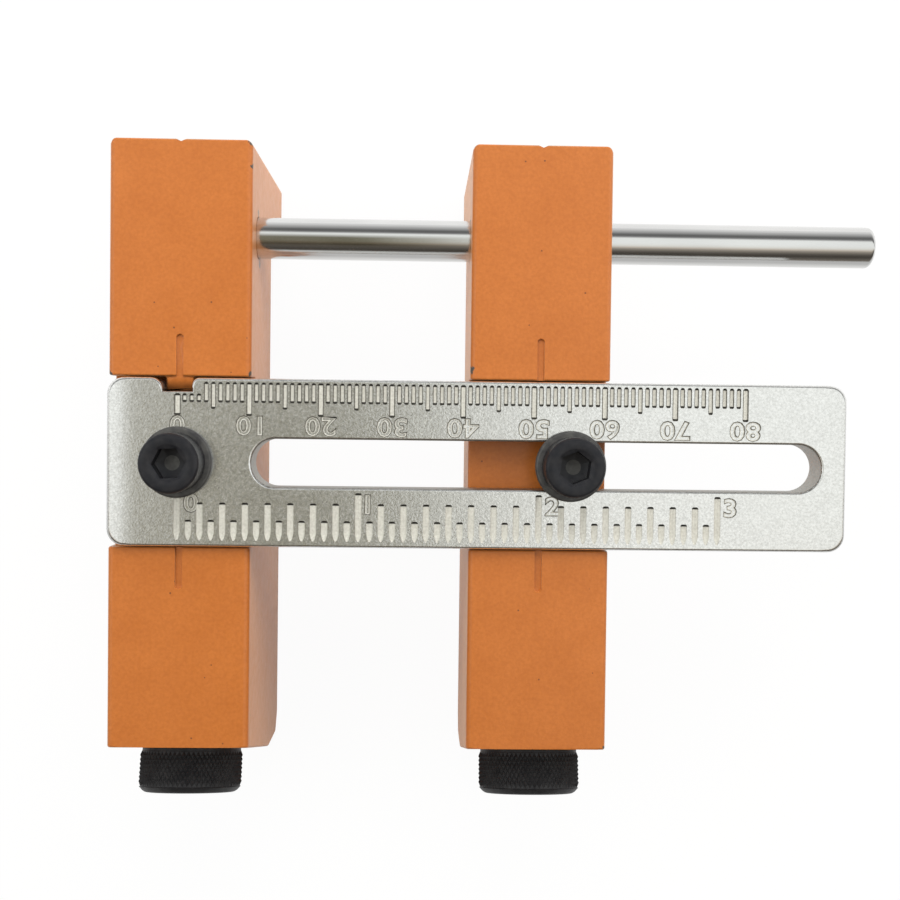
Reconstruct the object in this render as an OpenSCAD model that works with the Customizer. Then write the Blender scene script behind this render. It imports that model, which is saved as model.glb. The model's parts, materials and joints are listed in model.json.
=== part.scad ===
// Pocket hole jig: two cast drill-guide blocks on a guide rod, spaced by a slotted scale plate.
// The jig lies on its back. X runs along the rod, Y runs up the blocks, Z points to the front.
// X = 0 is the scale's zero and the left block's centre.
// Y = 0, Z = 0 is a point on the lower rest face of the left block.

/* [Blocks] */
// Width of each block along the rod
block_w = 20; // [18:0.5:26]
// Depth of each block, from the front face to the rear rest faces
block_d = 34.5; // [32:0.5:40]
// Length of the lower rest face above the origin
rest_h = 15; // [12:0.5:18]
// Height of the chip recess in the back
recess_h = 45; // [42:0.5:52]
// Height of the top pad above the recess
pad_h = 10.4; // [8:0.2:14]
// Distance that the front face reaches below the origin
skirt_h = 15.6; // [14:0.2:20]
// Thickness of the web between the front face and the recess
web_t = 21; // [19:0.5:24]
// Distance that the flat foot reaches below the front face's lower edge
foot_drop = 6.7; // [5:0.1:7.5]
// Height of the bevel at the lower rear corner
heel_h = 4.4; // [2:0.1:5]
// Depth of that bevel, measured from the rear rest face
heel_d = 3; // [1:0.1:4]
// Radius of the corners inside the recess
recess_r = 3; // [1:0.5:5]
// Rounding of the long outer edges
edge_r = 0.8; // [0.3:0.1:1.5]
// Rounding of the four corners in front view
corner_r = 1; // [0.4:0.1:2]

/* [Drill guides] */
// Tilt of the drill axis away from the rest faces
tilt = 15; // [12:0.5:18]
// Depth of the drill axis behind the front edge of the bottom face
axis_depth = 11.2; // [10:0.1:12.5]
// Diameter of the bore that guides the drill
drill_d = 9.55; // [8:0.05:10]
// Outer diameter of the sleeve's shank
sleeve_d = 13; // [12.4:0.1:14]
// Length of the sleeve's shank inside the block
sleeve_l = 28; // [20:0.5:31]
// Diameter of the sleeve's knurled head
sleeve_head_d = 15.2; // [14.4:0.1:16.5]
// Length of the sleeve's head
sleeve_head_l = 6.5; // [5:0.1:9]
// Extra diameter of the open drill path beyond the sleeve
path_over = 1; // [0.6:0.1:2]

/* [Scale plate] */
// Distance from the top of the blocks down to the plate's centre line
plate_drop = 45.4; // [42:0.2:50]
// Length of the plate to the left of the zero mark
plate_left = 9.9; // [8:0.1:12]
// Length of the plate to the right of the zero mark
plate_right = 94.6; // [92:0.2:98]
// Width of the plate
plate_h = 23.7; // [20:0.1:26]
// Thickness of the plate
plate_t = 5.5; // [4.5:0.1:7]
// Distance that the plate stands out of the front faces
plate_proud = 1.4; // [0.8:0.1:2.5]
// Corner radius of the plate
plate_r = 2.4; // [1.5:0.1:4]
// Bevel round the plate's front edge
plate_bevel = 0.7; // [0.3:0.1:1.2]
// Distance from zero to the centre of the slot's left end
slot_from = 13.7; // [12:0.1:18]
// Width of the bridge between the slot and the plate's right end
bridge_w = 3.6; // [3:0.1:8]
// Depth of the zero notch in the plate's top edge
notch_h = 1.9; // [1.2:0.1:2.4]

/* [Guide rod] */
// Diameter of the rod
rod_d = 6; // [5:0.5:8]
// Distance from the top of the blocks down to the rod's axis
rod_drop = 12.7; // [11.5:0.1:16]
// Depth of the rod's axis behind the front faces
rod_depth = 7; // [6:0.1:12]
// Distance that the rod reaches past the plate's right end
rod_past_plate = 5.9; // [2:0.1:20]
// Distance of the rod's left end inside the left block's side
rod_inset = 0.5; // [0:0.1:4]
// Chamfer at the ends of the rod
rod_chamfer = 0.6; // [0.2:0.1:1.2]

/* [Clamp screws] */
// Thread diameter of the clamp screws
screw_d = 5; // [4:0.5:6]
// Length of the screws under the head
screw_l = 16; // [14:0.5:17]
// Diameter of the screw heads
screw_head_d = 8.3; // [7:0.1:10]
// Height of the screw heads
screw_head_h = 5; // [4:0.5:8]
// Width across the flats of the hexagon socket
hex_af = 4; // [3:0.5:5]
// Depth of the hexagon socket
hex_depth = 2.5; // [2:0.1:3.5]
// Outer diameter of the washers under the screw heads
washer_d = 10; // [9:0.5:12]
// Thickness of the washers
washer_t = 1; // [0.5:0.1:2]
// Distance of the right screw to the right of its block's centre
screw_offset = 4.2; // [0:0.1:5]

/* [Marks] */
// Width of the reference lines cut in the blocks
line_w = 1; // [0.6:0.1:1.6]
// Depth of the reference lines and of the notch on top
line_depth = 0.4; // [0.2:0.1:0.8]
// Length of the reference lines above and below the plate
line_l = 5.4; // [3:0.1:8]
// Width of the tab that keys the plate on the left block
tab_w = 3.9; // [2:0.1:6]
// Height of the tab
tab_h = 2; // [1:0.1:2.4]

/* [Setting] */
// Distance between the blocks' centres as the jig is set
spacing = 51; // [20.2:0.1:84.1]

/* [Clearances] */
// Radial clearance of turning and sliding cylinders
run_gap = 0.05; // [0.01:0.01:0.1]
// Gap under the washers, under sleeve heads and behind the plate on the right block
face_gap = 0.02; // [0.01:0.01:0.05]
// Gap between the plate's long edges and the walls of its groove
groove_gap = 0.25; // [0.1:0.05:0.5]
// Gap between a screw's shank and the sides of the plate's slot or hole
shank_gap = 0.9; // [0.2:0.05:1.2]
// Gap between a screw's shank and the bore of its washer
washer_gap = 0.15; // [0.05:0.05:0.3]
// Gap between the key tab and the sides of the notch
tab_gap = 0.3; // [0.1:0.05:0.6]

/* [Hidden] */
$fn = 64;
eps = 0.01;
top_y = rest_h + recess_h + pad_h;
front_low_y = -skirt_h;
foot_y = front_low_y - foot_drop;
plate_y = top_y - plate_drop;
plate_front_z = block_d + plate_proud;
plate_back_z = plate_front_z - plate_t;
groove_h = plate_h + 2 * groove_gap;
slot_w = screw_d + 2 * shank_gap;
slot_to = plate_right - bridge_w - slot_w / 2;
rod_y = top_y - rod_drop;
rod_z = block_d - rod_depth;
rod_from = rod_inset - block_w / 2;
rod_to = plate_right + rod_past_plate;
seat_y = front_low_y - axis_depth * tan(tilt);
seat_z = block_d - axis_depth;
path_l = 2 * (top_y - seat_y);

// Turns a drawing of Y and Z into a solid along X, centred on the block's middle
module along_rod(length) {
    rotate([90, 0, 90])
        linear_extrude(height = length, center = true)
            children();
}

// Moves children to the drill axis: their +Z then points out of the sleeve's mouth
module on_drill_axis() {
    translate([0, seat_y, seat_z])
        rotate([90 - tilt, 0, 0])
            children();
}

// Side view of a block: slanted seat, flat foot, bevelled heel, chip recess and top pad
module block_profile(groove_floor) {
    recess_z = block_d - web_t;
    recess_top_y = rest_h + recess_h;
    difference() {
        polygon([
            [front_low_y, block_d],
            [foot_y, block_d - foot_drop / tan(tilt)],
            [foot_y, heel_d],
            [foot_y + heel_h, 0],
            [top_y, 0],
            [top_y, block_d]
        ]);
        // Chip recess, with its two inner corners rounded
        translate([rest_h, -1])
            square([recess_h, recess_z + 1 - recess_r]);
        translate([rest_h + recess_r, -1])
            square([recess_h - 2 * recess_r, recess_z + 1]);
        for (y = [rest_h + recess_r, recess_top_y - recess_r])
            translate([y, recess_z - recess_r])
                circle(r = recess_r);
        // Groove across the front that seats the scale plate
        translate([plate_y - groove_h / 2, groove_floor])
            square([groove_h, block_d - groove_floor + 1]);
    }
}

// Rectangle with rounded corners, its lower left corner at the origin
module rounded_rectangle(size, r) {
    for (x = [r, size[0] - r], y = [r, size[1] - r])
        translate([x, y])
            circle(r = r);
    translate([0, r])
        square([size[0], size[1] - 2 * r]);
    translate([r, 0])
        square([size[0] - 2 * r, size[1]]);
}

// Reference lines above and below the plate, and the notch across the top
module block_marks() {
    for (side = [0, 1]) {
        from_y = side ? plate_y + groove_h / 2 - eps : plate_y - groove_h / 2 - line_l;
        tip_y = side ? from_y + line_l : from_y;
        translate([-line_w / 2, from_y, block_d - line_depth])
            cube([line_w, line_l + eps, line_depth + 1]);
        translate([0, tip_y, block_d - line_depth])
            cylinder(d = line_w, h = line_depth + 1);
    }
    translate([0, top_y, -1])
        linear_extrude(height = block_d + 2)
            polygon([[-2 * line_depth, eps], [2 * line_depth, eps], [0, -line_depth]]);
}

// One cast block: guide bore, open drill path, rod bore and tapped hole
module block(groove_floor, rod_bore_d, screw_x) {
    difference() {
        intersection() {
            along_rod(block_w) block_profile(groove_floor);
            // Top view, with rounded long edges
            translate([-block_w / 2, top_y + 1, 0])
                rotate([90, 0, 0])
                    linear_extrude(height = top_y - foot_y + 2)
                        rounded_rectangle([block_w, block_d], edge_r);
            // Front view, with rounded corners
            translate([-block_w / 2, foot_y, -1])
                linear_extrude(height = block_d + 2)
                    rounded_rectangle([block_w, top_y - foot_y], corner_r);
        }
        on_drill_axis()
            translate([0, 0, -sleeve_l])
                cylinder(d = sleeve_d + 2 * run_gap, h = sleeve_l + 1);
        on_drill_axis()
            translate([0, 0, -path_l])
                cylinder(d = drill_d + path_over, h = path_l);
        translate([-block_w / 2 - 1, rod_y, rod_z])
            rotate([0, 90, 0])
                cylinder(d = rod_bore_d, h = block_w + 2);
        translate([screw_x, plate_y, plate_front_z - screw_l])
            cylinder(d = screw_d + 2 * run_gap, h = screw_l + 1);
        block_marks();
    }
}

module left_block() {
    color("darkorange") {
        block(plate_back_z, rod_d, 0);
        // Key tab that stands in the plate's zero notch, as deep as the reference lines
        translate([-tab_w / 2, plate_y + groove_h / 2 - tab_h, plate_back_z])
            cube([tab_w, tab_h, block_d - line_depth - plate_back_z]);
    }
}

module right_block() {
    color("orange")
        translate([spacing, 0, 0])
            block(plate_back_z - face_gap, rod_d + 2 * run_gap, screw_offset);
}

// Flat outline of the scale plate, smaller all round by inset
module plate_outline(inset) {
    translate([inset - plate_left, plate_y - plate_h / 2 + inset])
        rounded_rectangle([plate_left + plate_right - 2 * inset, plate_h - 2 * inset], plate_r - inset);
}

module scale_plate() {
    notch_w = tab_w + 2 * tab_gap;
    color("silver")
    difference() {
        translate([0, 0, plate_back_z])
            hull() {
                linear_extrude(height = plate_t - plate_bevel)
                    plate_outline(0);
                linear_extrude(height = plate_t)
                    plate_outline(plate_bevel);
            }
        // Slot that the right screw travels in
        translate([slot_from, plate_y - slot_w / 2, plate_back_z - 1])
            cube([slot_to - slot_from, slot_w, plate_t + 2]);
        for (x = [slot_from, slot_to])
            translate([x, plate_y, plate_back_z - 1])
                cylinder(d = slot_w, h = plate_t + 2);
        // Hole for the left screw
        translate([0, plate_y, plate_back_z - 1])
            cylinder(d = slot_w, h = plate_t + 2);
        // Zero notch round the left block's key tab
        translate([-notch_w / 2, plate_y + plate_h / 2 - notch_h, plate_back_z - 1])
            cube([notch_w, notch_h + 1, plate_t + 2]);
    }
}

module guide_rod() {
    color("gainsboro")
        translate([rod_from, rod_y, rod_z])
            rotate([0, 90, 0])
                rotate_extrude()
                    polygon([
                        [0, 0],
                        [rod_d / 2 - rod_chamfer, 0],
                        [rod_d / 2, rod_chamfer],
                        [rod_d / 2, rod_to - rod_from - rod_chamfer],
                        [rod_d / 2 - rod_chamfer, rod_to - rod_from],
                        [0, rod_to - rod_from]
                    ]);
}

// Socket head cap screw, its head seated on a washer
module clamp_screw(x) {
    head_r = screw_head_d / 2;
    rim = 0.4;
    tip = 0.8;
    hex_r = hex_af / 2 / cos(30);
    translate([x, plate_y, plate_front_z + face_gap + washer_t])
        difference() {
            rotate_extrude()
                polygon([
                    [0, -screw_l],
                    [screw_d / 2 - tip, -screw_l],
                    [screw_d / 2, tip - screw_l],
                    [screw_d / 2, 0],
                    [head_r, 0],
                    [head_r, screw_head_h - rim],
                    [head_r - rim, screw_head_h],
                    [0, screw_head_h]
                ]);
            translate([0, 0, screw_head_h - hex_depth])
                cylinder(r = hex_r, h = hex_depth + 1, $fn = 6);
            translate([0, 0, screw_head_h - hex_r + hex_af / 2])
                cylinder(r1 = hex_af / 2, r2 = hex_r + eps, h = hex_r - hex_af / 2 + eps);
        }
}

module left_screw() {
    color("dimgray") clamp_screw(0);
}

module right_screw() {
    color("dimgray") clamp_screw(spacing + screw_offset);
}

// Punched flat washer that bridges the plate's slot or hole, its upper edge chamfered
module clamp_washer(x) {
    edge = washer_t / 5;
    bore_r = screw_d / 2 + washer_gap;
    translate([x, plate_y, plate_front_z + face_gap])
        rotate_extrude()
            polygon([
                [bore_r, 0],
                [washer_d / 2, 0],
                [washer_d / 2, washer_t - edge],
                [washer_d / 2 - edge, washer_t],
                [bore_r, washer_t]
            ]);
}

module left_washer() {
    color("darkgray") clamp_washer(0);
}

module right_washer() {
    color("darkgray") clamp_washer(spacing + screw_offset);
}

// Hardened drill sleeve with a knurled head, its shoulder seated on the slanted bottom
module sleeve() {
    bore_r = drill_d / 2;
    head_r = sleeve_head_d / 2;
    rim = 1;
    lead = 0.6;
    on_drill_axis()
        translate([0, 0, face_gap])
            rotate_extrude()
                polygon([
                    [bore_r + lead, -sleeve_l + 0.5],
                    [sleeve_d / 2 - lead, -sleeve_l + 0.5],
                    [sleeve_d / 2, lead - sleeve_l + 0.5],
                    [sleeve_d / 2, 0],
                    [head_r - lead / 2, 0],
                    [head_r, lead / 2],
                    [head_r, sleeve_head_l - rim],
                    [head_r - rim, sleeve_head_l],
                    [bore_r + lead, sleeve_head_l],
                    [bore_r, sleeve_head_l - lead],
                    [bore_r, lead - sleeve_l + 0.5]
                ]);
}

module left_sleeve() {
    color("slategray") sleeve();
}

module right_sleeve() {
    color("slategray") translate([spacing, 0, 0]) sleeve();
}

left_block();
right_block();
scale_plate();
guide_rod();
left_screw();
right_screw();
left_washer();
right_washer();
left_sleeve();
right_sleeve();
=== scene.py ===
# %% [markdown]
# # A pocket hole jig, seen from above
#
# The object is a small workshop jig: two painted blocks on a steel rod, spaced by a slotted
# scale plate that two black cap screws clamp down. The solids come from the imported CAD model.
# This notebook dresses them: softer edges, engraved scales, a knurl, threads and real finishes.
# Everything is in metres, and the small sizes are written in millimetres and multiplied by `MM`.

# %% Load the frame
import json
import math

import bmesh
import bpy
from mathutils import Matrix, Vector


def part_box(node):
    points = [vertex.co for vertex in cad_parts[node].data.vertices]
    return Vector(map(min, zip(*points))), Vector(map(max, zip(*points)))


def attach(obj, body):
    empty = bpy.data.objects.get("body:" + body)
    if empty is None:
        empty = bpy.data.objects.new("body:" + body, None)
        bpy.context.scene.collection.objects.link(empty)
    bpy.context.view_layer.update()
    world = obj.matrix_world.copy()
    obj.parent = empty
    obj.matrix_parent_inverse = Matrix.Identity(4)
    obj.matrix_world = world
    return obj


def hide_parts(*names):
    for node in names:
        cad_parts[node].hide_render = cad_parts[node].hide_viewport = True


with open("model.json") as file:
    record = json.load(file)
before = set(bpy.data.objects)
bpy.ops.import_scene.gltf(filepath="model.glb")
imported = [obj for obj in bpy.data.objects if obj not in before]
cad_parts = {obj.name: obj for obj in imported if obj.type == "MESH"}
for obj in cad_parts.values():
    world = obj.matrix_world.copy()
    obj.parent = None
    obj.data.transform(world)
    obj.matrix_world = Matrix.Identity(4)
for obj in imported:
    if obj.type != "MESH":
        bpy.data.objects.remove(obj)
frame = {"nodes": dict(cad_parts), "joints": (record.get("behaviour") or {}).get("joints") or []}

for name in ("Cube", "Light", "Camera"):
    if name in bpy.data.objects:
        bpy.data.objects.remove(bpy.data.objects[name])
bpy.context.view_layer.update()

MM = 0.001

# %% [markdown]
# ## Camera
#
# The photograph was taken from close by, so the two blocks show their inner sides. The camera
# could be framed by eye, but then no edge would land where it should. Here its place was worked
# out from the millimetre scale and the known sizes of the blocks, and it only has to be set.

# %% Camera
lens_mm = 46.113
camera_data = bpy.data.cameras.new("photo_camera")
camera_data.lens = lens_mm
camera_data.sensor_width = 36
camera_data.clip_start = 0.01
camera = bpy.data.objects.new("photo_camera", camera_data)
camera.location = (33.976 * MM, 30.631 * MM, 198.038 * MM)
camera.rotation_euler = [math.radians(a) for a in (-1.25513, -1.47574, 0.69310)]
bpy.context.scene.collection.objects.link(camera)
bpy.context.scene.camera = camera
print("camera height over the table, mm:", round(camera.location.z / MM, 1))

# %% [markdown]
# ## Studio
#
# Bright metal shows the room more than itself. The real plate has a dark patch where it mirrors
# the person behind the camera, and the rod carries that darkness as two long stripes. A lamp
# alone can't do this, so the world gets a simple room: pale above and at the sides, brown below
# the camera, and a dark patch round the lens. It depends on direction only.

# %% World nodes
world = bpy.data.worlds.new("studio")
bpy.context.scene.world = world
world.use_nodes = True
room = world.node_tree
room.nodes.clear()


def add(tree, kind, **values):
    """A new node with its properties, and its inputs by name, set to plain values."""
    node = tree.nodes.new(kind)
    for key, value in values.items():
        if hasattr(node, key):
            setattr(node, key, value)
        else:
            node.inputs[key.replace("_", " ")].default_value = value
    return node


def maths(tree, operation, a, b=None):
    """A Math node whose inputs are sockets or plain numbers. Returns its output socket."""
    node = tree.nodes.new("ShaderNodeMath")
    node.operation = operation
    for place, value in enumerate((a, b)):
        if value is None:
            continue
        if isinstance(value, (int, float)):
            node.inputs[place].default_value = value
        else:
            tree.links.new(value, node.inputs[place])
    return node.outputs[0]


def ramp(tree, factor, stops):
    """A ColorRamp over (position, colour or grey) stops. Returns its colour socket."""
    node = tree.nodes.new("ShaderNodeValToRGB")
    for place, (position, colour) in enumerate(stops):
        grey = isinstance(colour, (int, float))
        rgb = (colour,) * 3 if grey else colour
        known = node.color_ramp.elements
        element = known[place] if place < 2 else known.new(position)
        element.position = position
        element.color = (*rgb, 1)
    tree.links.new(factor, node.inputs[0])
    return node.outputs["Color"]


print("world:", world.name)

# %% [markdown]
# The direction of a ray is turned into two angles: how far it points up or down the picture and
# how far to the left or right. Each angle runs through a colour ramp. Up and down gives the pale
# sky, a darker line high up and the brown lower half. Left and right lets the dark patch end.

# %% The room's two gradients
direction = add(room, "ShaderNodeTexCoord").outputs["Generated"]
parts = add(room, "ShaderNodeSeparateXYZ")
room.links.new(direction, parts.inputs[0])
side, up, towards = parts.outputs


def turn_share(sideways):
    """The angle from straight up off the table, as a share of a full turn from 0 to 1."""
    angle = maths(room, "ARCTAN2", sideways, towards)
    return maths(room, "ADD", maths(room, "DIVIDE", angle, 2 * math.pi), 0.5)


def at(degrees):
    """Ramp position of an angle."""
    return 0.5 + degrees / 360


def warm(level):
    return (level * 1.12, level, level * 0.86)


pale = (0.98, 1.0, 0.985)
upright = ramp(room, turn_share(up), [
    (at(-120), (0.50, 0.48, 0.44)), (at(-92), warm(0.22)), (at(-78), warm(0.12)),
    (at(-62), warm(0.055)), (at(-50), warm(0.10)), (at(-40), warm(0.20)), (at(-32), warm(0.32)),
    (at(-24), warm(0.60)), (at(-16), (0.88, 0.87, 0.82)), (at(-8), (0.95, 0.96, 0.93)),
    (at(0), pale), (at(26), pale), (at(32), 0.42), (at(38), 0.17), (at(48), 0.14), (at(55), 0.25),
    (at(62), 0.40), (at(72), 0.55), (at(82), 0.78), (at(100), 0.85), (at(115), pale)])
across = ramp(room, turn_share(side), [
    (at(-24), 1), (at(-19), 0.80), (at(-14), (0.36, 0.33, 0.26)), (at(-9), (0.20, 0.18, 0.135)),
    (at(-3), (0.17, 0.155, 0.11)), (at(0), (0.42, 0.40, 0.34)), (at(4), 0.94), (at(7), 1)])
near_lens = ramp(room, turn_share(up), [
    (at(-55), 0), (at(-35), 1), (at(3), 1), (at(12), 0.6), (at(22), 0)])
print("room gradients:", len(room.nodes), "nodes")

# %% Put the room together
patch = add(room, "ShaderNodeMix", data_type="RGBA", blend_type="MULTIPLY")
room.links.new(near_lens, patch.inputs[0])
room.links.new(upright, patch.inputs[6])
room.links.new(across, patch.inputs[7])
lit_room = add(room, "ShaderNodeBackground", Strength=1.0)
room.links.new(patch.outputs[2], lit_room.inputs["Color"])
white_room = add(room, "ShaderNodeBackground", Color=(1, 1, 1, 1), Strength=1.0)
seen = add(room, "ShaderNodeLightPath").outputs["Is Camera Ray"]
choice = add(room, "ShaderNodeMixShader")
room.links.new(seen, choice.inputs[0])
room.links.new(lit_room.outputs[0], choice.inputs[1])
room.links.new(white_room.outputs[0], choice.inputs[2])
room_out = add(room, "ShaderNodeOutputWorld")
room.links.new(choice.outputs[0], room_out.inputs["Surface"])
bpy.context.scene.view_settings.view_transform = "Standard"
print("view transform:", bpy.context.scene.view_settings.view_transform)

# %% [markdown]
# ## Lamps and table
#
# Two large soft lamps give the paint its gentle falloff: one beyond the top of the jig, and a
# weaker one from the lower left. The table is a white sheet. For the camera it is mostly a plain
# white glow, so that it reads as a white background, and a share of real paint keeps the shadow.

# %% Lamps
def soft_lamp(name, place, size, watts, colour=(1, 1, 1)):
    """A square area lamp aimed at the middle of the jig."""
    data = bpy.data.lights.new(name, "AREA")
    data.size = size
    data.energy = watts
    data.color = colour
    lamp = bpy.data.objects.new(name, data)
    lamp.location = place
    lamp.visible_glossy = False
    aim = Vector((0.042, 0.025, 0.03)) - Vector(place)
    lamp.rotation_euler = aim.to_track_quat("-Z", "Y").to_euler()
    bpy.context.scene.collection.objects.link(lamp)
    return lamp


soft_lamp("lamp_above", (0.05, 0.36, 0.34), 0.30, 1.55, (1, 0.97, 0.92))
soft_lamp("lamp_left", (-0.29, 0.08, 0.40), 0.30, 0.75, (1, 0.97, 0.90))
soft_lamp("lamp_right", (0.44, 0.22, 0.24), 0.30, 1.05, (1, 0.95, 0.86))
print("lamps:", [lamp.name for lamp in bpy.data.lights])

# %% Table
table_half, dim_y, bright_y = 2.0, -0.01, 0.06
sheet = bmesh.new()
bmesh.ops.create_grid(sheet, x_segments=1, y_segments=1, size=table_half)
table_mesh = bpy.data.meshes.new("table")
sheet.to_mesh(table_mesh)
table = bpy.data.objects.new("table", table_mesh)
bpy.context.scene.collection.objects.link(table)

white = bpy.data.materials.new("white_table")
white.use_nodes = True
tree = white.node_tree
tree.nodes.clear()
path = add(tree, "ShaderNodeLightPath").outputs
looked_at = maths(tree, "MAXIMUM", path["Is Camera Ray"], path["Is Glossy Ray"])
looked_at = maths(tree, "MAXIMUM", looked_at, path["Is Transmission Ray"])
painted = add(tree, "ShaderNodeBsdfDiffuse", Color=(0.95, 0.95, 0.95, 1))
glow = add(tree, "ShaderNodeEmission", Color=(1, 1, 1, 1))
on_table = add(tree, "ShaderNodeSeparateXYZ")
tree.links.new(add(tree, "ShaderNodeTexCoord").outputs["Object"], on_table.inputs[0])
loss = add(tree, "ShaderNodeMapRange", clamp=True)
for key, value in (("From Min", dim_y), ("From Max", bright_y), ("To Min", 0.42), ("To Max", 0.0)):
    loss.inputs[key].default_value = value
tree.links.new(on_table.outputs["Y"], loss.inputs["Value"])
dimmed = maths(tree, "MULTIPLY", path["Is Glossy Ray"], loss.outputs["Result"])
tree.links.new(maths(tree, "SUBTRACT", 1.0, dimmed), glow.inputs["Strength"])
mix = add(tree, "ShaderNodeMixShader")
tree.links.new(maths(tree, "MULTIPLY", looked_at, 0.95), mix.inputs[0])
tree.links.new(painted.outputs[0], mix.inputs[1])
tree.links.new(glow.outputs[0], mix.inputs[2])
tree.links.new(mix.outputs[0], add(tree, "ShaderNodeOutputMaterial").inputs["Surface"])
table_mesh.materials.append(white)
print("table, m:", 2 * table_half)

# %% [markdown]
# ## Finishes
#
# Every finish starts as a Principled shader and gets its life from a few noise textures in the
# object's own coordinates: one that shifts the colour, one that breaks up the gloss and one that
# raises the surface by hundredths of a millimetre. A helper makes the common parts.

# %% A finish with its noise
def finish(name, colour, metallic, roughness):
    """A new material with a Principled shader and object coordinates, as (tree, shader, place)."""
    material = bpy.data.materials.new(name)
    material.use_nodes = True
    tree = material.node_tree
    shader = tree.nodes["Principled BSDF"]
    shader.inputs["Base Color"].default_value = (*colour, 1)
    shader.inputs["Metallic"].default_value = metallic
    shader.inputs["Roughness"].default_value = roughness
    place = add(tree, "ShaderNodeTexCoord").outputs["Object"]
    return material, tree, shader, place


def noise(tree, place, size_mm, detail=2.0, stretch=(1, 1, 1)):
    """Noise with grains of about size_mm, stretched along an axis by a number above 1."""
    mapping = add(tree, "ShaderNodeMapping")
    mapping.inputs["Scale"].default_value = [1 / (size_mm * MM * s) for s in stretch]
    tree.links.new(place, mapping.inputs["Vector"])
    node = add(tree, "ShaderNodeTexNoise", Scale=1.0, Detail=detail)
    tree.links.new(mapping.outputs[0], node.inputs["Vector"])
    return node.outputs["Fac"]


def spread(tree, factor, low, high):
    """Stretches the middle of a noise, 0.3 to 0.7, over low to high."""
    node = add(tree, "ShaderNodeMapRange")
    for key, value in (("From Min", 0.3), ("From Max", 0.7), ("To Min", low), ("To Max", high)):
        node.inputs[key].default_value = value
    tree.links.new(factor, node.inputs["Value"])
    return node.outputs["Result"]


def bump(tree, height, depth_mm, strength=1.0, under=None):
    """A Bump node over height, whose full range is depth_mm. It can lie over another bump."""
    node = add(tree, "ShaderNodeBump", Strength=strength, Distance=depth_mm * MM)
    tree.links.new(height, node.inputs["Height"])
    if under is not None:
        tree.links.new(under, node.inputs["Normal"])
    return node.outputs["Normal"]


def blend(tree, factor, first, second):
    """Mixes two colours, each a socket or (r, g, b)."""
    node = add(tree, "ShaderNodeMix", data_type="RGBA")
    tree.links.new(factor, node.inputs[0])
    for place, value in ((6, first), (7, second)):
        if isinstance(value, tuple):
            node.inputs[place].default_value = (*value, 1)
        else:
            tree.links.new(value, node.inputs[place])
    return node.outputs[2]


print("a noise grain of 0.6 mm is", round(1 / (0.6 * MM)), "cells to the metre")

# %% [markdown]
# ### Orange enamel
#
# The blocks are rough castings under one sprayed coat. The coat has a fine orange peel, slow
# changes in tone, a few dark specks of dirt, and grey chips where a corner has been knocked. The
# chips are placed by points: within a ragged distance of a point the paint gives way to iron.

# %% Enamel
def enamel(name, chips):
    """Orange paint with chips, each (x, y, z, radius) in millimetres."""
    material, tree, shader, place = finish(name, (0.55, 0.135, 0.021), 0.0, 0.3)
    shader.inputs["Sheen Weight"].default_value = 0.31
    shader.inputs["Sheen Roughness"].default_value = 0.45
    shader.inputs["Sheen Tint"].default_value = (1, 0.67, 0.37, 1)
    tone = spread(tree, noise(tree, place, 6, 4), 0, 1)
    colour = blend(tree, tone, (0.476, 0.142, 0.024), (0.516, 0.160, 0.030))
    pits = spread(tree, noise(tree, place, 0.45, 2), 0, 0.38)
    colour = blend(tree, pits, colour, (0.350, 0.092, 0.012))

    cells = add(tree, "ShaderNodeTexVoronoi", Scale=1 / (2.6 * MM))
    tree.links.new(place, cells.inputs["Vector"])
    picked = add(tree, "ShaderNodeSeparateColor")
    tree.links.new(cells.outputs["Color"], picked.inputs[0])
    near = maths(tree, "LESS_THAN", cells.outputs["Distance"], 0.052)
    speck = maths(tree, "MULTIPLY", near, maths(tree, "GREATER_THAN", picked.outputs[0], 0.45))
    colour = blend(tree, speck, colour, (0.17, 0.055, 0.018))

    ragged = spread(tree, noise(tree, place, 0.5, 3), -0.35 * MM, 0.35 * MM)
    chipped = None
    for x, y, z, radius in chips:
        gap = add(tree, "ShaderNodeVectorMath", operation="DISTANCE")
        tree.links.new(place, gap.inputs[0])
        gap.inputs[1].default_value = (x * MM, y * MM, z * MM)
        inside = maths(tree, "LESS_THAN", maths(tree, "ADD", gap.outputs["Value"], ragged),
                       radius * MM)
        chipped = inside if chipped is None else maths(tree, "MAXIMUM", chipped, inside)
    if chipped is not None:
        colour = blend(tree, chipped, colour, (0.055, 0.050, 0.046))
    tree.links.new(colour, shader.inputs["Base Color"])

    casting = bump(tree, noise(tree, place, 3.5, 3), 0.012, 0.5)
    peel = bump(tree, noise(tree, place, 0.45, 3), 0.030, 0.8, casting)
    tree.links.new(peel, shader.inputs["Normal"])
    gloss = spread(tree, noise(tree, place, 1.2, 2), 0.29, 0.36)
    tree.links.new(gloss, shader.inputs["Roughness"])
    return material


print("enamel: one material for each block, so that the chips differ")

# %% [markdown]
# ### Nickel, ground steel and black oxide
#
# The scale plate is a zinc casting with satin nickel on it, so its surface is slightly lumpy
# under a fine grain. The rod is ground: the marks run round it and are almost too fine to see.
# The screws and the sleeves are steel with a thin black oxide, dull and a little bluish.

# %% Metals
worn_from, plate_end, worn_drop = -5.2, -9.9, 0.30


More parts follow.
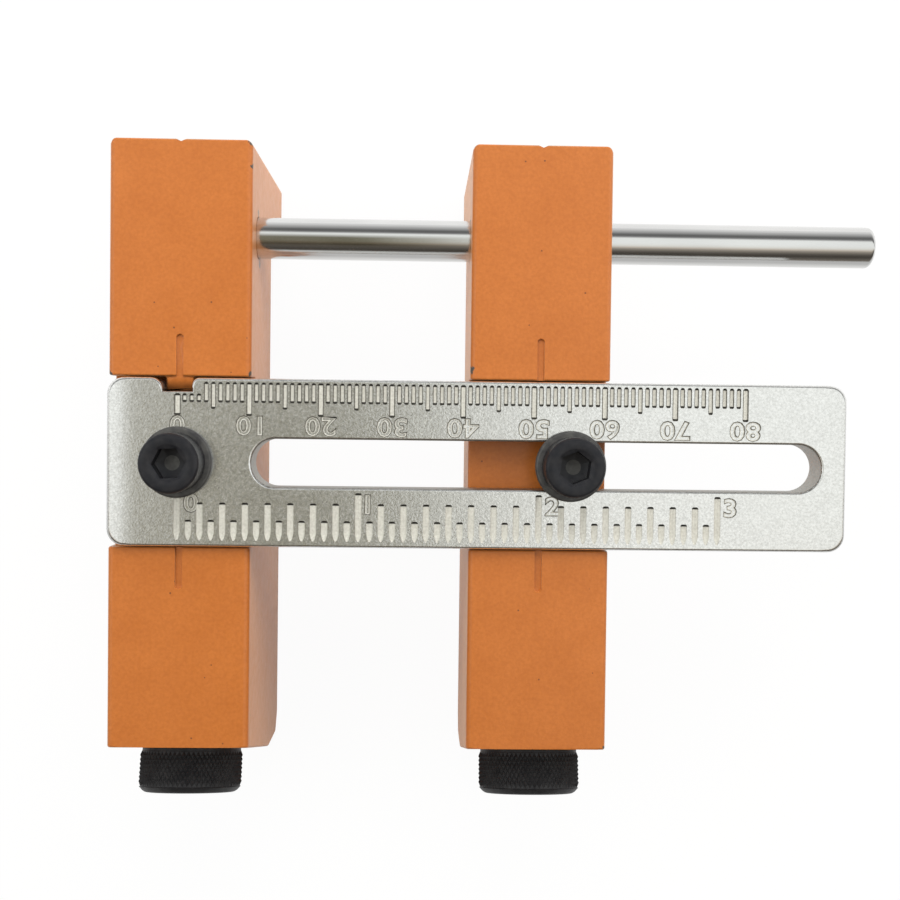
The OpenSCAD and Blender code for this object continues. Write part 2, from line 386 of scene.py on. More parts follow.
def satin_nickel():
    material, tree, shader, place = finish("satin_nickel", (0.80, 0.79, 0.75), 1.0, 0.22)
    where = add(tree, "ShaderNodeSeparateXYZ")
    tree.links.new(place, where.inputs[0])
    end = add(tree, "ShaderNodeMapRange", clamp=True)
    for key, value in (("From Min", worn_from * MM), ("From Max", plate_end * MM)):
        end.inputs[key].default_value = value
    tree.links.new(where.outputs["X"], end.inputs["Value"])
    dome = maths(tree, "POWER", end.outputs["Result"], 3.0)
    worn = bump(tree, maths(tree, "SUBTRACT", 1.0, dome), worn_drop, 1.0)
    lumps = bump(tree, noise(tree, place, 0.7, 2), 0.015, 0.6, worn)
    grain = bump(tree, noise(tree, place, 0.24, 3), 0.017, 0.9, lumps)
    tree.links.new(grain, shader.inputs["Normal"])
    tree.links.new(spread(tree, noise(tree, place, 0.5, 4), 0.18, 0.26),
                   shader.inputs["Roughness"])
    tone = blend(tree, spread(tree, noise(tree, place, 0.3, 4), 0, 1),
                 (0.74, 0.74, 0.72), (0.97, 0.97, 0.95))
    tree.links.new(tone, shader.inputs["Base Color"])
    return material


def plain_nickel(name, dark, light, roughness, metallic):
    """Nickel where no tumbling reaches: the floors of the marks and the walls of the slot.
    Also the dark painted shade in the ends and on the steep walls of the marks.
    """
    material, tree, shader, place = finish(name, light, metallic, roughness)
    tone = blend(tree, spread(tree, noise(tree, place, 0.3, 3), 0, 1), dark, light)
    tree.links.new(tone, shader.inputs["Base Color"])
    tree.links.new(bump(tree, noise(tree, place, 0.15, 2), 0.006, 0.8), shader.inputs["Normal"])
    return material


def ground_steel():
    material, tree, shader, place = finish("ground_steel", (0.74, 0.74, 0.73), 1.0, 0.13)
    rings = noise(tree, place, 0.3, 2, stretch=(0.3, 6, 6))
    tree.links.new(bump(tree, rings, 0.001, 0.5), shader.inputs["Normal"])
    tree.links.new(spread(tree, noise(tree, place, 2, 3, stretch=(4, 1, 1)), 0.09, 0.16),
                   shader.inputs["Roughness"])
    tone = blend(tree, spread(tree, noise(tree, place, 3, 3, stretch=(5, 1, 1)), 0, 1),
                 (0.72, 0.72, 0.71), (0.79, 0.79, 0.78))
    tree.links.new(tone, shader.inputs["Base Color"])
    return material


def black_oxide(name, colour, worn, roughness):
    material, tree, shader, place = finish(name, colour, 0.2, roughness)
    shader.inputs["Specular IOR Level"].default_value = 0.36
    tone = blend(tree, spread(tree, noise(tree, place, 1.1, 4), 0, 1), colour, worn)
    tree.links.new(tone, shader.inputs["Base Color"])
    tree.links.new(bump(tree, noise(tree, place, 0.2, 2), 0.003, 0.6), shader.inputs["Normal"])
    tree.links.new(spread(tree, noise(tree, place, 0.8, 3), roughness - 0.06, roughness + 0.08),
                   shader.inputs["Roughness"])
    return material


nickel = satin_nickel()
struck = plain_nickel("struck_nickel", (0.66, 0.65, 0.59), (0.84, 0.83, 0.77), 0.45, 0.55)
as_cast = plain_nickel("cast_nickel", (0.44, 0.43, 0.39), (0.60, 0.59, 0.55), 0.5, 1.0)
# Painted shade: a near-black nickel for the shadowed steep ends of the marks.
painted_end_shade = plain_nickel("painted_shade_in_mark_ends", (0.02, 0.019, 0.016), (0.06, 0.056, 0.048), 0.6, 0.3)
# Painted shade: a dark nickel on the steep walls of the marks and figures.
painted_wall_shade = plain_nickel("painted_shade_on_mark_walls", (0.12, 0.115, 0.10), (0.30, 0.29, 0.26), 0.5, 0.6)
steel = ground_steel()
screw_black = black_oxide("screw_oxide", (0.011, 0.012, 0.016), (0.022, 0.022, 0.025), 0.38)
punched_steel = black_oxide("punched_oxide", (0.05, 0.05, 0.05), (0.09, 0.09, 0.085), 0.5)
washer_black = black_oxide("washer_oxide", (0.045, 0.045, 0.048), (0.095, 0.095, 0.092), 0.34)
sleeve_black = black_oxide("sleeve_oxide", (0.012, 0.012, 0.014), (0.024, 0.024, 0.026), 0.40)
print("metals:", [m.name for m in (nickel, struck, steel, screw_black, washer_black)])

# %% [markdown]
# ## From a bmesh to a piece
#
# Each piece is shaped in a bmesh and then becomes an object at the origin. The same few lines
# close every piece: turn the faces outwards, shade smooth but keep real corners sharp, and weigh
# the normals by face area so that a rounded rim doesn't bend the shine of the flat beside it.

# %% Make a piece
def piece(bm, name, material, body, node, keep_sharp=35):
    """Turns a finished bmesh into an object that stands for a CAD node and rides its body."""
    bmesh.ops.recalc_face_normals(bm, faces=bm.faces)
    mesh = bpy.data.meshes.new(name)
    bm.to_mesh(mesh)
    mesh.shade_smooth()
    mesh.set_sharp_from_angle(angle=math.radians(keep_sharp))
    for each in material if isinstance(material, list) else [material]:
        mesh.materials.append(each)
    made = bpy.data.objects.new(name, mesh)
    bpy.context.scene.collection.objects.link(made)
    weigh = made.modifiers.new("weigh_normals", "WEIGHTED_NORMAL")
    weigh.keep_sharp = True
    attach(made, body)
    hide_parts(node)
    loose = sum(not e.is_manifold for e in bm.edges)
    triangles = sum(len(f.verts) - 2 for f in bm.faces)
    print(f"{name}: {triangles} triangles, {loose} open edges, "
          f"{bm.calc_volume() / MM ** 3:.0f} cubic mm")
    bm.free()
    return made


# %% [markdown]
# ## The two blocks
#
# Each block is a casting with a sloping drill way, a recess for the chips and a notch on top. The
# CAD solid already has every one of these forms, and a copy of it is the honest start. What it
# lacks is softness: paint fills corners and rounds edges. So the copy's loose triangles are
# merged, flat regions are dissolved to single faces, and all its real edges are bevelled.

# %% Soften a block
def softened(node, line_x, radius_mm, line_radius_mm, steps):
    """A merged copy of a CAD node with its sharp edges rounded, as a bmesh. The reference lines
    at line_x and the notch on top are so shallow that their edges get a smaller radius."""
    bm = bmesh.new()
    bm.from_mesh(frame["nodes"][node].data)
    bmesh.ops.remove_doubles(bm, verts=bm.verts, dist=0.002 * MM)
    bmesh.ops.dissolve_limit(bm, angle_limit=math.radians(0.5), verts=bm.verts, edges=bm.edges)
    corner = math.radians(25)
    sharp = [e for e in bm.edges if e.is_manifold and e.calc_face_angle() > corner]
    middles = {e: (e.verts[0].co + e.verts[1].co) / 2 / MM for e in sharp}
    lines = [e for e in sharp if abs(middles[e].x - line_x) < 0.6 and middles[e].z > 34.05
             or abs(middles[e].x - line_x) < 1.3 and middles[e].y > notch_from]
    rest = [e for e in sharp if e not in set(lines)]
    for edges, radius in ((rest, radius_mm), (lines, line_radius_mm)):
        edges = [e for e in edges if e.is_valid]
        bmesh.ops.bevel(bm, geom=edges, offset=radius * MM, offset_type="OFFSET",
                        segments=steps, profile=0.5, affect="EDGES", clamp_overlap=False,
                        material=-1)
    floors = [f for f in bm.faces if len(f.verts) > 12 and f.normal.z > 0.99
              and 34.0 < f.calc_center_median().z / MM < 34.2]
    bmesh.ops.triangulate(bm, faces=floors)
    return bm


block_edge, line_edge, notch_from = 0.3, 0.12, 69.6
left_chips = [(10.0, 70.2, 34.3, 0.54), (9.9, 66.8, 33.9, 0.32), (10.0, 61.3, 28.3, 0.58),
              (10.0, 54.0, 26.6, 0.65), (9.9, 37.6, 34.2, 0.36), (-9.8, 37.4, 34.2, 0.25)]
right_chips = [(41.0, 38.6, 34.2, 0.50), (41.0, 61.2, 27.0, 0.50), (60.9, -15.4, 34.3, 0.36),
               (41.1, 70.2, 34.3, 0.25)]
piece(softened("left_block", 0, block_edge, line_edge, 3), "left_casting",
      enamel("enamel_left", left_chips), "fixed_jig", "left_block")
piece(softened("right_block", 51, block_edge, line_edge, 3), "right_casting",
      enamel("enamel_right", right_chips), "sliding_block", "right_block")

# %% [markdown]
# ## The scale plate
#
# The plate is cast, then tumbled until its edges are round. It starts as a cube, gets its zero
# notch cut, and then its corners and rims are bevelled. The slot and the screw hole are cut after
# that, because their rims are tighter than the outer one.

# %% Cutting one shape out of another
def box_between(low, high):
    """A bmesh cube stretched between two corners, in millimetres."""
    bm = bmesh.new()
    bmesh.ops.create_cube(bm, size=1)
    low, high = Vector(low) * MM, Vector(high) * MM
    bmesh.ops.scale(bm, vec=high - low, verts=bm.verts)
    bmesh.ops.translate(bm, vec=(low + high) / 2, verts=bm.verts)
    return bm


plate_finishes = [nickel, struck, as_cast, painted_end_shade, painted_wall_shade]
# The last two finishes are painted shade: the ends and the upper walls of the marks.
struck_floor, cast_wall, shaded_end, shaded_wall = 1, 2, 3, 4


def scratch_object(bm, name):
    mesh = bpy.data.meshes.new(name)
    bm.to_mesh(mesh)
    for finish_there in plate_finishes:
        mesh.materials.append(finish_there)
    made = bpy.data.objects.new(name, mesh)
    bpy.context.scene.collection.objects.link(made)
    return made


def cut(bm, cutter, crossing=False, finish_number=0):
    """bm without cutter, both closed and both used up. Crossing strokes need a slower cut."""
    bmesh.ops.recalc_face_normals(cutter, faces=cutter.faces)
    for face in cutter.faces:
        face.material_index = max(face.material_index, finish_number)
    for shape in (bm, cutter):
        bmesh.ops.triangulate(shape, faces=shape.faces)
    blank, tool = scratch_object(bm, "blank"), scratch_object(cutter, "tool")
    boolean = blank.modifiers.new("cut", "BOOLEAN")
    boolean.operation, boolean.solver, boolean.object = "DIFFERENCE", "EXACT", tool
    boolean.use_self = crossing
    ready = blank.evaluated_get(bpy.context.evaluated_depsgraph_get())
    result = bmesh.new()
    result.from_mesh(ready.data)
    for spare in (blank, tool):
        bpy.data.objects.remove(spare)
    bm.free()
    cutter.free()
    bmesh.ops.remove_doubles(result, verts=result.verts, dist=0.001 * MM)
    bmesh.ops.dissolve_limit(result, angle_limit=math.radians(0.1), verts=result.verts,
                             edges=result.edges, delimit={"MATERIAL"})
    return result


def round_edges(bm, chosen, radius_mm, steps):
    """Bevels the corners for which chosen(middle, direction) is true, in millimetres."""
    found = []
    for edge in bm.edges:
        a, b = (v.co / MM for v in edge.verts)
        if edge.calc_face_angle(0) > 0.4 and chosen((a + b) / 2, (b - a).normalized()):
            found.append(edge)
    bmesh.ops.bevel(bm, geom=found, offset=radius_mm * MM, offset_type="OFFSET", segments=steps,
                    profile=0.5, affect="EDGES", clamp_overlap=False, material=-1)
    return len(found)


plate_low, plate_high = (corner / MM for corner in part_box("scale_plate"))
plate_mid = (plate_low.y + plate_high.y) / 2
print("plate, mm:", [round(c, 2) for c in plate_high - plate_low])

# %% A rim that changes its radius
def soft_rim(bm, face_z, share):
    """Rounds the corners at height face_z by rim_radius times share(middle of the edge)."""
    weight = bm.edges.layers.float.new("bevel_weight_edge")
    for edge in bm.edges:
        middle = (edge.verts[0].co + edge.verts[1].co) / 2 / MM
        if abs(middle.z - face_z) < 0.01 and edge.calc_face_angle(0) > 0.4:
            edge[weight] = share(middle)
    blank = scratch_object(bm, "blank")
    bm.free()
    rounding = blank.modifiers.new("rim", "BEVEL")
    rounding.limit_method, rounding.offset_type = "WEIGHT", "OFFSET"
    rounding.width, rounding.segments = rim_radius * MM, 5
    rounding.use_clamp_overlap = False
    ready = blank.evaluated_get(bpy.context.evaluated_depsgraph_get())
    result = bmesh.new()
    result.from_mesh(ready.data)
    bpy.data.objects.remove(blank)
    result.edges.layers.float.remove(result.edges.layers.float["bevel_weight_edge"])
    return result


# %% Blank with its notch and round rims
notch_half, notch_depth, notch_share = 2.05, 1.9, 0.25
left_shoulder, right_shoulder = 1.75, 0.9
corner_radius, rim_radius, back_radius = 2.4, 0.8, 0.3

plate = box_between(plate_low, plate_high)
plate = cut(plate, box_between((-notch_half, plate_high.y - notch_depth, plate_low.z - 1),
                               (notch_half, plate_high.y + 1, plate_high.z + 1)),
            finish_number=cast_wall)
upright_edges = round_edges(
    plate, lambda m, d: abs(d.z) > 0.9 and min(abs(m.x - plate_low.x), abs(m.x - plate_high.x))
    < 0.1, corner_radius, 8)
round_edges(plate, lambda m, d: abs(d.z) > 0.9 and abs(m.x + notch_half) < 0.05
            and m.y > plate_high.y - 0.1, left_shoulder, 6)
round_edges(plate, lambda m, d: abs(d.z) > 0.9 and abs(m.x - notch_half) < 0.05
            and m.y > plate_high.y - 0.1, right_shoulder, 6)


def rim_share(middle):
    """Full at the two short ends, smaller along the long edges and least inside the notch."""
    if abs(middle.x) < notch_half + 0.05:
        return notch_share
    from_end = min(middle.x - plate_low.x, plate_high.x - middle.x)
    return max(0.0, 1 - from_end / 3.0) * 0.5 + 0.5


plate = soft_rim(plate, plate_high.z, rim_share)
round_edges(plate, lambda m, d: abs(m.z - plate_low.z) < 0.01, back_radius, 3)
print("corners:", upright_edges, "faces:", len(plate.faces))

# %% Slot and screw hole
slot_width, slot_left = 6.8, 10.3
slot_right = plate_high.x - 3.6
slot_rim = 0.35


def stadium(left, right, width, low_z, high_z):
    """A slot's shape: a box whose upright edges are rounded until its ends are half circles."""
    bm = box_between((left, plate_mid - width / 2, low_z), (right, plate_mid + width / 2, high_z))
    round_edges(bm, lambda m, d: abs(d.z) > 0.9, width / 2 * 0.999, 16)
    return bm


plate = cut(plate, stadium(slot_left, slot_right, slot_width, plate_low.z - 1, plate_high.z + 1),
            finish_number=cast_wall)
plate = cut(plate, stadium(-slot_width / 2, slot_width / 2, slot_width,
                           plate_low.z - 1, plate_high.z + 1))


def is_opening(m, face_z):
    """True for the middle of an edge on the rim of the slot or of the screw hole."""
    in_width = abs(m.y - plate_mid) < slot_width / 2 + 0.1
    in_length = -slot_width < m.x < slot_right + 0.1
    return abs(m.z - face_z) < 0.01 and in_width and in_length


rim_front = round_edges(plate, lambda m, d: is_opening(m, plate_high.z), slot_rim, 5)
rim_back = round_edges(plate, lambda m, d: is_opening(m, plate_low.z), back_radius, 2)
print("slot rim edges, front and back:", rim_front, rim_back)

# %% [markdown]
# ### The two scales
#
# The marks were struck into the plate with a die: each is a round-bottomed trough, steep at the
# end nearest the plate's middle line and running out at the other. A trough is a circle that is
# moved along its line and scaled as it goes, so the cutter for one mark is six linked rings.
# All the cutters are gathered in one mesh, because one cut with 140 shapes is quicker than 140
# cuts with one. The steep ends and the upper walls of the marks are painted dark as shade.

# %% One mark
def trough(bm, x, y_from, y_to, width, depth, from_scales, to_scales, shaded_to=False):
    """Adds a mark's cutter: rings from y_from to y_to. Scales are (distance from the end, size).
    A dark painted shade goes in the steep first end, in the other end where the last argument asks
    for it, and on the upper walls."""
    steps = 1 if y_to > y_from else -1
    stations = [(y_from + steps * s, size) for s, size in from_scales]
    stations += [(y_to - steps * s, size) for s, size in reversed(to_scales)]
    across = Matrix.Rotation(math.radians(90), 4, "X")
    ring = bmesh.ops.create_circle(bm, radius=0.5 * MM, segments=10, matrix=across)["verts"]
    edges = list({e for v in ring for e in v.link_edges})
    ends = list(edges)
    y_now, size_now = stations[0]
    bmesh.ops.scale(bm, vec=(width * size_now, 1, 2 * depth * size_now), verts=ring)
    bmesh.ops.translate(bm, vec=Vector((x, y_now, plate_high.z)) * MM, verts=ring)
    for y, size in stations[1:]:
        grown = bmesh.ops.extrude_edge_only(bm, edges=edges)["geom"]
        ring = [g for g in grown if isinstance(g, bmesh.types.BMVert)]
        edges = [g for g in grown if isinstance(g, bmesh.types.BMEdge) and g.is_boundary]
        # Faces near the steep end, and near the far end where asked, get the painted shade.
        in_shade = abs(y - y_from) < shade_reach or (shaded_to and abs(y_now - y_to) < shade_reach)
        for face in (g for g in grown if isinstance(g, bmesh.types.BMFace)):
            face.material_index = shaded_end if in_shade else struck_floor
        centre = Vector((x, y_now, plate_high.z)) * MM
        ratio = size / size_now
        bmesh.ops.scale(bm, vec=(ratio, 1, ratio), space=Matrix.Translation(-centre), verts=ring)
        bmesh.ops.translate(bm, vec=(0, (y - y_now) * MM, 0), verts=ring)
        y_now, size_now = y, size
    # The upper part of each wall, where it is steep, gets a dark painted shade.
    for face in (f for f in bm.faces if f.material_index == struck_floor):
        middle = face.calc_center_median() / MM
        tapered = not shaded_to and abs(middle.y - y_to) < to_scales[-1][0]
        if middle.z > plate_high.z - 0.4 * depth and not tapered:
            face.material_index = shaded_wall
    caps = bmesh.ops.holes_fill(bm, edges=ends + edges, sides=0)["faces"]
    for cap in caps:
        high_end = abs(cap.calc_center_median().y / MM - y_from) < 0.01
        cap.material_index = shaded_end if high_end or shaded_to else struck_floor


# How far into a mark's end the painted shade reaches, in mm.
shade_reach = 0.35
test = bmesh.new()
trough(test, 0, 10, 12, 0.6, 0.3, [(0, 0.5), (0.2, 1)], [(0, 0.5), (0.2, 1)])
print("a mark's cutter has", len(test.faces), "faces")
test.free()

# %% Rows of marks
marks = bmesh.new()
steep = [(0.0, 0.55), (0.07, 0.85), (0.2, 1.0), (0.32, 1.0)]
run_out = [(0.0, 0.25), (0.35, 0.62), (1.1, 1.0)]
blunt = [(0.0, 0.45), (0.12, 0.8), (0.3, 1.0)]

mm_top, mm_notch_top = plate_mid + 11.27, plate_mid + 9.63
for mark in range(81):
    length_to = plate_mid + (6.55 if mark % 10 == 0 else 7.5 if mark % 5 == 0 else 8.4)
    top = mm_notch_top if mark < 4 else mm_top
    width = 1.0 if mark == 0 else 0.88 if mark % 10 == 0 else 0.68
    trough(marks, mark, length_to, top, width, 0.24, steep, blunt, shaded_to=True)

inch = 25.4
inch_low = plate_mid - 10.95
for mark in range(49):
    top = plate_mid + (-4.1 if mark % 16 == 0 else -5.6 if mark % 2 == 0 else -8.05)
    trough(marks, mark * inch / 16, top, inch_low, 0.95, 0.34, steep, run_out)
print("marks:", 81 + 49, "faces:", len(marks.faces))

# %% [markdown]
# The figures are plain numbers from Blender's own font. A text object has no closed mesh, so each
# is given a depth and a sloping edge, turned into a mesh, merged and moved into place. On the
# millimetre scale they stand on their heads, because that scale is read from the other side.

# %% Figures
slope, figure_depth, figure_stretch = 0.060, 0.17, 1.17


def figures(bm, words, centre_x, low_y, height, turned, left_edge=None):
    """Adds the cutter of a number. It is height tall, in millimetres."""
    curve = bpy.data.curves.new("figures", "FONT")
    curve.body = words
    curve.size = 1
    curve.resolution_u = 3
    curve.offset = -0.008
    curve.space_character = 1.08
    curve.bevel_depth = slope
    curve.bevel_resolution = 2
    written = bpy.data.objects.new("figures", curve)
    bpy.context.scene.collection.objects.link(written)
    ready = written.evaluated_get(bpy.context.evaluated_depsgraph_get())
    mesh = bpy.data.meshes.new_from_object(ready)
    bpy.data.objects.remove(written)
    start, first_face = len(bm.verts), len(bm.faces)
    bm.from_mesh(mesh)
    bm.verts.ensure_lookup_table()
    bm.faces.ensure_lookup_table()
    new = bm.verts[start:]
    for face in bm.faces[first_face:]:
        face.normal_update()
        level = abs(face.normal.z)
        # Steep walls of the figures get a dark painted shade; flat faces keep the nickel.
        face.material_index = 0 if level > 0.99 else struck_floor if level > 0.8 else shaded_wall
    low = Vector([min(v.co[i] for v in new) for i in range(3)])
    high = Vector([max(v.co[i] for v in new) for i in range(3)])
    bmesh.ops.translate(bm, vec=-(low + high) / 2, verts=new)
    grow = height / (high.y - low.y) * MM
    bmesh.ops.scale(bm, vec=(grow * figure_stretch, grow, figure_depth * MM / slope),
                    verts=new)
    if turned:
        bmesh.ops.rotate(bm, cent=(0, 0, 0), matrix=Matrix.Rotation(math.pi, 3, "Z"), verts=new)
    half = (high.x - low.x) / 2 * grow * figure_stretch / MM
    x = centre_x if left_edge is None else left_edge + half
    place = Vector((x, low_y + height / 2, plate_high.z)) * MM
    bmesh.ops.translate(bm, vec=place, verts=new)
    return 2 * half


numbers = bmesh.new()
widths = [figures(numbers, str(ten), ten, plate_mid + 3.76, 2.9, True) for ten in range(0, 81, 10)]
for whole in range(4):
    figures(numbers, str(whole), None, plate_mid - 7.1, 2.85, False,
            left_edge=whole * inch + 0.85)
bmesh.ops.remove_doubles(numbers, verts=numbers.verts, dist=0.002 * MM)
print("widths of the figures, mm:", [round(w, 1) for w in widths])

# %% Engrave and place the plate
plate = cut(plate, marks)
plate = cut(plate, numbers, crossing=True)
piece(plate, "engraved_plate", plate_finishes, "fixed_jig", "scale_plate", keep_sharp=40)

# %% [markdown]
# ## The rod
#
# A ground rod is the simplest thing a lathe makes: half its outline, spun about its axis. The
# outline is a row of points, and a full spin needs its last ring merged with the first. The ends
# are slightly domed from tumbling.

# %% Spin an outline
def turned(outline, axis, centre, steps=64):
    """Spins an outline of (along, radius) points, in mm, about an axis through centre."""
    bm = bmesh.new()
    axis = Vector(axis).normalized()
    out = axis.orthogonal().normalized()
    centre = Vector(centre)
    corners = [bm.verts.new((centre + axis * along + out * radius) * MM)
               for along, radius in outline]
    line = [bm.edges.new(pair) for pair in zip(corners, corners[1:])]
    bmesh.ops.spin(bm, geom=corners + line, cent=centre * MM, axis=axis, dvec=(0, 0, 0),
                   angle=2 * math.pi, steps=steps, use_merge=True, use_duplicate=False)
    bmesh.ops.remove_doubles(bm, verts=bm.verts, dist=0.001 * MM)
    bmesh.ops.recalc_face_normals(bm, faces=bm.faces)
    return bm


def rounded(along, radius, bend, out_first, steps=4):
    """Points of a quarter round of size bend at the corner (along, radius) of an outline."""
    sign = 1 if out_first else -1
    points = []
    for step in range(steps + 1):
        turn = step / steps * math.pi / 2
        if out_first:
            points.append((along + bend * (1 - math.cos(turn)),
                           radius - bend * (1 - math.sin(turn))))
        else:
            points.append((along - bend * (1 - math.sin(turn)),
                           radius - bend * (1 - math.cos(turn))))
    return points


rod_low, rod_high = (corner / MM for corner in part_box("guide_rod"))
rod_radius = (rod_high.z - rod_low.z) / 2
rod_axis = (0, (rod_low.y + rod_high.y) / 2, (rod_low.z + rod_high.z) / 2)
end_bend = 0.8
rod_outline = [(rod_low.x, 0), *rounded(rod_low.x, rod_radius, end_bend, True),
               *rounded(rod_high.x, rod_radius, end_bend, False), (rod_high.x, 0)]
piece(turned(rod_outline, (1, 0, 0), rod_axis), "ground_rod", steel, "fixed_jig",
      "guide_rod")

# %% [markdown]
# ## The cap screws
#
# A socket head screw is turned and then has a hexagon pressed into it. The head and the shank are
# spun from one outline that stops at a ring on top. The hexagon is a circle of six sides with its
# edges divided until it has as many points as that ring, so that the two can be bridged. From
# there the socket is extruded down and ends in the cone that the punch leaves.

# %% A cap screw
def cap_screw(x, y, seat, radius, head_height, shank_radius, length, turn):
    """A socket head screw that stands on seat, in millimetres, with its thread along -Z."""
    steps = 96
    socket_ring, flats, socket_depth, punch_flat = 2.55, 4.0, 2.5, 1.05
    top = seat + head_height
    outline = [(seat - length, 0), (seat - length, shank_radius - 0.8),
               (seat - length + 0.6, shank_radius - 0.25), (seat - 0.35, shank_radius - 0.25),
               (seat, shank_radius + 0.1), (seat, radius - 0.22), (seat + 0.18, radius),
               (top - 0.50, radius), (top - 0.34, radius - 0.05), (top - 0.18, radius - 0.15),
               (top - 0.06, radius - 0.30), (top, radius - 0.46),
               (top, socket_ring + 0.1), (top - 0.04, socket_ring)]
    bm = turned(outline, (0, 0, 1), (x, y, 0), steps)
    for vert in bm.verts:
        away = vert.co.xy / MM - Vector((x, y))
        number = round(math.atan2(away.y, away.x) / (2 * math.pi) * steps)
        on_side = seat + 0.1 < vert.co.z / MM < top - 0.4 and abs(away.length - radius) < 0.03
        if on_side and number % 2:
            vert.co.xy = (Vector((x, y)) + away * (1 - knurl_depth / radius)) * MM
    rim = [e for e in bm.edges if e.is_boundary]
    hexagon = bmesh.ops.create_circle(bm, radius=flats / 2 / math.cos(math.pi / 6) * MM,
                                      segments=6)["verts"]
    bmesh.ops.rotate(bm, verts=hexagon, matrix=Matrix.Rotation(math.radians(turn), 3, "Z"))
    bmesh.ops.translate(bm, vec=Vector((x, y, top - 0.24)) * MM, verts=hexagon)
    sides = list({e for v in hexagon for e in v.link_edges})
    bmesh.ops.subdivide_edges(bm, edges=sides, cuts=steps // 6 - 1)
    ring = list({e for e in bm.edges if e.is_wire})
    bmesh.ops.bridge_loops(bm, edges=rim + ring)
    walls = [e for e in bm.edges if e.is_boundary]
    deeper = bmesh.ops.extrude_edge_only(bm, edges=walls)["geom"]
    corners = [g for g in deeper if isinstance(g, bmesh.types.BMVert)]
    bmesh.ops.translate(bm, vec=(0, 0, -(socket_depth - 0.24) * MM), verts=corners)
    floor_edges = [g for g in deeper if isinstance(g, bmesh.types.BMEdge) and g.is_boundary]
    cone = bmesh.ops.extrude_edge_only(bm, edges=floor_edges)["geom"]
    centre = Vector((x, y, top - socket_depth - 0.35))
    for vert in (g for g in cone if isinstance(g, bmesh.types.BMVert)):
        away = (vert.co.xy / MM - centre.xy).normalized() * punch_flat
        vert.co = Vector((x + away.x, y + away.y, centre.z)) * MM
    last = [g for g in cone if isinstance(g, bmesh.types.BMEdge) and g.is_boundary]
    punched = bmesh.ops.holes_fill(bm, edges=last, sides=steps)["faces"]
    for face in punched:
        face.material_index = 1
    bmesh.ops.poke(bm, faces=[f for f in bm.faces if len(f.verts) > 8], offset=0)
    return bm


knurl_depth = 0.07
head_height, washer_height = 5.0, 1.0


def thread(bm, x, y, low, high, radius, pitch, depth, steps=24):
    """Adds a V thread: a small triangle of wire spun up the shank, a step of pitch each turn."""
    base = radius - depth
    profile = [(base, 0), (radius, pitch * 0.42), (radius, pitch * 0.54), (base, pitch * 0.96)]
    corners = [bm.verts.new((x * MM + r * MM, y * MM, (low + up) * MM)) for r, up in profile]
    line = [bm.edges.new(pair) for pair in zip(corners, corners[1:] + corners[:1])]
    turns = (high - low) / pitch - 1
    total = int(turns * steps)
    face = bm.faces.new(corners)
    bmesh.ops.spin(bm, geom=[face], cent=Vector((x, y, 0)) * MM, axis=(0, 0, 1),
                   dvec=(0, 0, pitch / steps * MM), angle=2 * math.pi * total / steps,
                   steps=total, use_merge=False, use_duplicate=False)
    return turns


for side_name, body, turn in (("left", "left_clamp", 33), ("right", "right_clamp", 52)):
    node = f"{side_name}_screw"
    low, high = (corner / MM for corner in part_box(node))
    x, y = (low.x + high.x) / 2, (low.y + high.y) / 2
    seat = high.z - head_height
    head_radius = (high.x - low.x) / 2
    screw = cap_screw(x, y, seat, head_radius, head_height, 2.5, seat - low.z, turn)
    turns = thread(screw, x, y, low.z + 0.4, seat - 4.6, 2.5, 0.8, 0.38)
    print(side_name, "thread turns:", round(turns, 1))
    piece(screw, f"{side_name}_cap_screw", [screw_black, punched_steel], body,
          node)

# %% [markdown]
# ## The washers
#
# Each head presses on a flat washer that bridges the slot. It is punched from strip, so its upper
# edge is drawn round and its lower edge is sharp. The outline is a closed ring this time, and
# the handling has rubbed its rim brighter than the head.

# %% Washers
for side_name, body in (("left", "left_clamp"), ("right", "right_clamp")):
    node = f"{side_name}_washer"
    low, high = (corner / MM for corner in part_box(node))
    x, y = (low.x + high.x) / 2, (low.y + high.y) / 2
    outer, bore = (high.x - low.x) / 2, 2.65
    outline = [(low.z + 0.04, bore), (low.z, bore + 0.04), (low.z, outer - 0.05),
               (low.z + 0.05, outer), (high.z - 0.32, outer), (high.z - 0.16, outer - 0.06),
               (high.z - 0.05, outer - 0.18), (high.z, outer - 0.36), (high.z, bore + 0.06),
               (high.z - 0.06, bore), (low.z + 0.04, bore)]
    piece(turned(outline, (0, 0, 1), (x, y, 0), 96), f"{side_name}_flat_washer", washer_black,
          body, node)

# %% [markdown]
# ## The drill sleeves
#
# The sleeve's head is knurled so that it can be gripped. A knurl is a net of small pyramids. It
# is made from the outside of the head: a band of plain squares is poked, which puts a point in
# the middle of each, and dissolving the first edges leaves a net of diamonds. A second poke
# raises a pyramid on each diamond. The band is then joined to the turned ends of the sleeve.

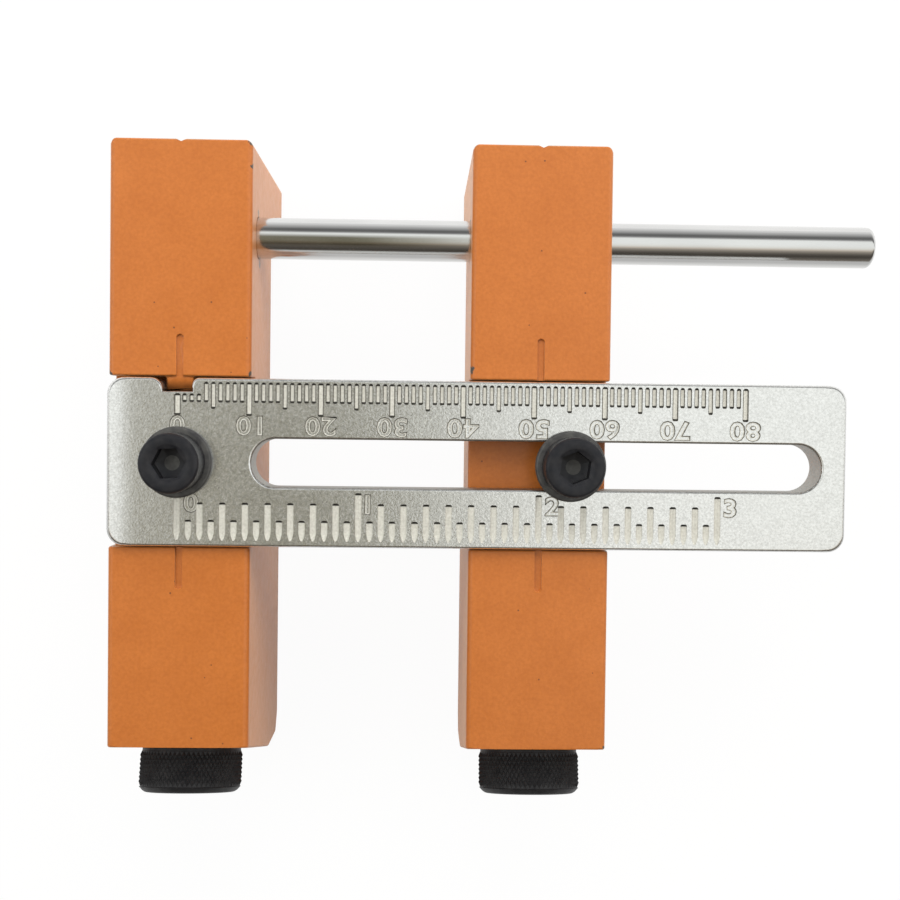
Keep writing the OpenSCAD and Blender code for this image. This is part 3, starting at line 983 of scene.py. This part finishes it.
# %% Knurled band
def knurled_sleeve(centre, axis, bore, shank, head, head_length, shank_length, neck):
    """A sleeve about axis, which points out of the block. centre is on its seat, in mm."""
    around, rows = 68, 4
    chamfer, band_low = 0.9, 0.55
    band_high = head_length - chamfer
    valley, peak = head - 0.26, head
    axis = Vector(axis)
    out = axis.orthogonal().normalized()
    centre = Vector(centre)
    bm = bmesh.new()
    rises = [band_low + (band_high - band_low) * row / rows for row in range(rows + 1)]
    corners = [bm.verts.new((centre + axis * rise + out * valley) * MM) for rise in rises]
    line = [bm.edges.new(pair) for pair in zip(corners, corners[1:])]
    bmesh.ops.spin(bm, geom=corners + line, cent=centre * MM, axis=axis, dvec=(0, 0, 0),
                   angle=2 * math.pi, steps=around, use_merge=True, use_duplicate=False)
    bmesh.ops.remove_doubles(bm, verts=bm.verts, dist=0.001 * MM)
    bmesh.ops.recalc_face_normals(bm, faces=bm.faces)
    squares = [e for e in bm.edges if not e.is_boundary]
    bmesh.ops.poke(bm, faces=list(bm.faces), offset=0)
    bmesh.ops.dissolve_edges(bm, edges=squares, use_verts=False)
    diamonds = [f for f in bm.faces if len(f.verts) == 4]
    bmesh.ops.poke(bm, faces=diamonds, offset=(peak - valley) * MM, use_relative_offset=False)
    for outline in (
            [(band_high, valley), (band_high + 0.12, peak - 0.12),
             (head_length - 0.25, head - 0.62), (head_length - 0.05, head - 0.95),
             (head_length, head - 1.15), (head_length, bore + 0.7),
             (head_length - 0.5, bore + 0.05), (head_length - 0.9, bore),
             (-shank_length + 0.4, bore), (-shank_length, bore + 0.3),
             (-shank_length, shank - 0.4), (-shank_length + 0.4, shank), (0, shank),
             (0, head - 0.45), (0.12, head - 0.3), (band_low - 0.06, head - 0.3),
             (band_low, valley)],):
        part = [bm.verts.new((centre + axis * rise + out * radius) * MM)
                for rise, radius in outline]
        edges = [bm.edges.new(pair) for pair in zip(part, part[1:])]
        bmesh.ops.spin(bm, geom=part + edges, cent=centre * MM, axis=axis, dvec=(0, 0, 0),
                       angle=2 * math.pi, steps=around, use_merge=True, use_duplicate=False)
    bmesh.ops.remove_doubles(bm, verts=bm.verts, dist=0.002 * MM)
    return bm


joints = {joint["name"]: joint for joint in frame["joints"]}
for side_name, body in (("left", "left_guide"), ("right", "right_guide")):
    joint = joints[f"{side_name}_sleeve_turn"]
    seat = Vector(joint["pos_m"]) / MM
    sleeve = knurled_sleeve(seat, Vector(joint["axis"]), 4.775, 6.5, 7.6, 6.5, 28, 0)
    piece(sleeve, f"{side_name}_knurled_sleeve", sleeve_black, body,
          f"{side_name}_sleeve", keep_sharp=30)

# %% [markdown]
# ## Finish
#
# The dressed jig has to fill the same box as the solids. The view layer is updated once more at
# the end.

# %% Update the view layer
bpy.context.view_layer.update()
